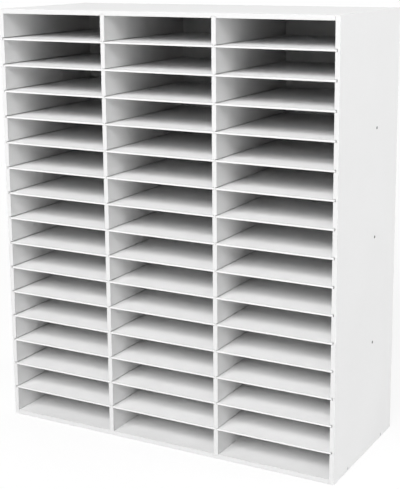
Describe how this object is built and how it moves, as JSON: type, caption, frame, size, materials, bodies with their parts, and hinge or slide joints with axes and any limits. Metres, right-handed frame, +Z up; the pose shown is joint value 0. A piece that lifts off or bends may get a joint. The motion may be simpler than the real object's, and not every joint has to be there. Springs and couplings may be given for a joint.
{
  "type": "pigeonhole mail sorter",
  "caption": "White free-standing mail sorter: an open-fronted board case split into columns of pigeonholes, with thin shelves that slide out of grooves in the uprights.",
  "frame": {"origin": "on the floor, under the middle of the case's outer box", "axes": "+X to the right as seen from the front, +Y to the back, +Z up; the open front faces -Y"},
  "size_m": [0.737, 0.31, 0.864],
  "materials": {
    "case_board": "white satin laminate on board",
    "thin_board": "white painted hardboard",
    "screw_steel": "zinc plated",
    "dowel_wood": "plain beech"
  },
  "bodies": {
    "case": {"left_side": "case_board", "right_side": "case_board", "left_middle_divider": "case_board", "middle_right_divider": "case_board", "top_panel": "case_board", "bottom_panel": "case_board", "back_panel": "thin_board", "left_fixed_shelf_04": "thin_board", "left_fixed_shelf_08": "thin_board", "left_fixed_shelf_12": "thin_board", "middle_fixed_shelf_04": "thin_board", "middle_fixed_shelf_08": "thin_board", "middle_fixed_shelf_12": "thin_board", "right_fixed_shelf_04": "thin_board", "right_fixed_shelf_08": "thin_board", "right_fixed_shelf_12": "thin_board", "left_bottom_front_screw": "screw_steel", "right_bottom_front_screw": "screw_steel", "left_bottom_rear_screw": "screw_steel", "right_bottom_rear_screw": "screw_steel", "left_top_front_dowel": "dowel_wood", "right_top_front_dowel": "dowel_wood", "left_top_rear_dowel": "dowel_wood", "right_top_rear_dowel": "dowel_wood"},
    "left_shelf_01": {"left_shelf_01": "thin_board"},
    "left_shelf_02": {"left_shelf_02": "thin_board"},
    "left_shelf_03": {"left_shelf_03": "thin_board"},
    "left_shelf_05": {"left_shelf_05": "thin_board"},
    "left_shelf_06": {"left_shelf_06": "thin_board"},
    "left_shelf_07": {"left_shelf_07": "thin_board"},
    "left_shelf_09": {"left_shelf_09": "thin_board"},
    "left_shelf_10": {"left_shelf_10": "thin_board"},
    "left_shelf_11": {"left_shelf_11": "thin_board"},
    "left_shelf_13": {"left_shelf_13": "thin_board"},
    "left_shelf_14": {"left_shelf_14": "thin_board"},
    "left_shelf_15": {"left_shelf_15": "thin_board"},
    "middle_shelf_01": {"middle_shelf_01": "thin_board"},
    "middle_shelf_02": {"middle_shelf_02": "thin_board"},
    "middle_shelf_03": {"middle_shelf_03": "thin_board"},
    "middle_shelf_05": {"middle_shelf_05": "thin_board"},
    "middle_shelf_06": {"middle_shelf_06": "thin_board"},
    "middle_shelf_07": {"middle_shelf_07": "thin_board"},
    "middle_shelf_09": {"middle_shelf_09": "thin_board"},
    "middle_shelf_10": {"middle_shelf_10": "thin_board"},
    "middle_shelf_11": {"middle_shelf_11": "thin_board"},
    "middle_shelf_13": {"middle_shelf_13": "thin_board"},
    "middle_shelf_14": {"middle_shelf_14": "thin_board"},
    "middle_shelf_15": {"middle_shelf_15": "thin_board"},
    "right_shelf_01": {"right_shelf_01": "thin_board"},
    "right_shelf_02": {"right_shelf_02": "thin_board"},
    "right_shelf_03": {"right_shelf_03": "thin_board"},
    "right_shelf_05": {"right_shelf_05": "thin_board"},
    "right_shelf_06": {"right_shelf_06": "thin_board"},
    "right_shelf_07": {"right_shelf_07": "thin_board"},
    "right_shelf_09": {"right_shelf_09": "thin_board"},
    "right_shelf_10": {"right_shelf_10": "thin_board"},
    "right_shelf_11": {"right_shelf_11": "thin_board"},
    "right_shelf_13": {"right_shelf_13": "thin_board"},
    "right_shelf_14": {"right_shelf_14": "thin_board"},
    "right_shelf_15": {"right_shelf_15": "thin_board"}
  },
  "joints": [
    {"name": "left_shelf_01_slide", "type": "slide", "parent": "case", "child": "left_shelf_01", "axis": [0, -1, 0], "range_m": [0, 0.306]},
    {"name": "left_shelf_02_slide", "type": "slide", "parent": "case", "child": "left_shelf_02", "axis": [0, -1, 0], "range_m": [0, 0.306]},
    {"name": "left_shelf_03_slide", "type": "slide", "parent": "case", "child": "left_shelf_03", "axis": [0, -1, 0], "range_m": [0, 0.306]},
    {"name": "left_shelf_05_slide", "type": "slide", "parent": "case", "child": "left_shelf_05", "axis": [0, -1, 0], "range_m": [0, 0.306]},
    {"name": "left_shelf_06_slide", "type": "slide", "parent": "case", "child": "left_shelf_06", "axis": [0, -1, 0], "range_m": [0, 0.306]},
    {"name": "left_shelf_07_slide", "type": "slide", "parent": "case", "child": "left_shelf_07", "axis": [0, -1, 0], "range_m": [0, 0.306]},
    {"name": "left_shelf_09_slide", "type": "slide", "parent": "case", "child": "left_shelf_09", "axis": [0, -1, 0], "range_m": [0, 0.306]},
    {"name": "left_shelf_10_slide", "type": "slide", "parent": "case", "child": "left_shelf_10", "axis": [0, -1, 0], "range_m": [0, 0.306]},
    {"name": "left_shelf_11_slide", "type": "slide", "parent": "case", "child": "left_shelf_11", "axis": [0, -1, 0], "range_m": [0, 0.306]},
    {"name": "left_shelf_13_slide", "type": "slide", "parent": "case", "child": "left_shelf_13", "axis": [0, -1, 0], "range_m": [0, 0.306]},
    {"name": "left_shelf_14_slide", "type": "slide", "parent": "case", "child": "left_shelf_14", "axis": [0, -1, 0], "range_m": [0, 0.306]},
    {"name": "left_shelf_15_slide", "type": "slide", "parent": "case", "child": "left_shelf_15", "axis": [0, -1, 0], "range_m": [0, 0.306]},
    {"name": "middle_shelf_01_slide", "type": "slide", "parent": "case", "child": "middle_shelf_01", "axis": [0, -1, 0], "range_m": [0, 0.306]},
    {"name": "middle_shelf_02_slide", "type": "slide", "parent": "case", "child": "middle_shelf_02", "axis": [0, -1, 0], "range_m": [0, 0.306]},
    {"name": "middle_shelf_03_slide", "type": "slide", "parent": "case", "child": "middle_shelf_03", "axis": [0, -1, 0], "range_m": [0, 0.306]},
    {"name": "middle_shelf_05_slide", "type": "slide", "parent": "case", "child": "middle_shelf_05", "axis": [0, -1, 0], "range_m": [0, 0.306]},
    {"name": "middle_shelf_06_slide", "type": "slide", "parent": "case", "child": "middle_shelf_06", "axis": [0, -1, 0], "range_m": [0, 0.306]},
    {"name": "middle_shelf_07_slide", "type": "slide", "parent": "case", "child": "middle_shelf_07", "axis": [0, -1, 0], "range_m": [0, 0.306]},
    {"name": "middle_shelf_09_slide", "type": "slide", "parent": "case", "child": "middle_shelf_09", "axis": [0, -1, 0], "range_m": [0, 0.306]},
    {"name": "middle_shelf_10_slide", "type": "slide", "parent": "case", "child": "middle_shelf_10", "axis": [0, -1, 0], "range_m": [0, 0.306]},
    {"name": "middle_shelf_11_slide", "type": "slide", "parent": "case", "child": "middle_shelf_11", "axis": [0, -1, 0], "range_m": [0, 0.306]},
    {"name": "middle_shelf_13_slide", "type": "slide", "parent": "case", "child": "middle_shelf_13", "axis": [0, -1, 0], "range_m": [0, 0.306]},
    {"name": "middle_shelf_14_slide", "type": "slide", "parent": "case", "child": "middle_shelf_14", "axis": [0, -1, 0], "range_m": [0, 0.306]},
    {"name": "middle_shelf_15_slide", "type": "slide", "parent": "case", "child": "middle_shelf_15", "axis": [0, -1, 0], "range_m": [0, 0.306]},
    {"name": "right_shelf_01_slide", "type": "slide", "parent": "case", "child": "right_shelf_01", "axis": [0, -1, 0], "range_m": [0, 0.306]},
    {"name": "right_shelf_02_slide", "type": "slide", "parent": "case", "child": "right_shelf_02", "axis": [0, -1, 0], "range_m": [0, 0.306]},
    {"name": "right_shelf_03_slide", "type": "slide", "parent": "case", "child": "right_shelf_03", "axis": [0, -1, 0], "range_m": [0, 0.306]},
    {"name": "right_shelf_05_slide", "type": "slide", "parent": "case", "child": "right_shelf_05", "axis": [0, -1, 0], "range_m": [0, 0.306]},
    {"name": "right_shelf_06_slide", "type": "slide", "parent": "case", "child": "right_shelf_06", "axis": [0, -1, 0], "range_m": [0, 0.306]},
    {"name": "right_shelf_07_slide", "type": "slide", "parent": "case", "child": "right_shelf_07", "axis": [0, -1, 0], "range_m": [0, 0.306]},
    {"name": "right_shelf_09_slide", "type": "slide", "parent": "case", "child": "right_shelf_09", "axis": [0, -1, 0], "range_m": [0, 0.306]},
    {"name": "right_shelf_10_slide", "type": "slide", "parent": "case", "child": "right_shelf_10", "axis": [0, -1, 0], "range_m": [0, 0.306]},
    {"name": "right_shelf_11_slide", "type": "slide", "parent": "case", "child": "right_shelf_11", "axis": [0, -1, 0], "range_m": [0, 0.306]},
    {"name": "right_shelf_13_slide", "type": "slide", "parent": "case", "child": "right_shelf_13", "axis": [0, -1, 0], "range_m": [0, 0.306]},
    {"name": "right_shelf_14_slide", "type": "slide", "parent": "case", "child": "right_shelf_14", "axis": [0, -1, 0], "range_m": [0, 0.306]},
    {"name": "right_shelf_15_slide", "type": "slide", "parent": "case", "child": "right_shelf_15", "axis": [0, -1, 0], "range_m": [0, 0.306]}
  ]
}
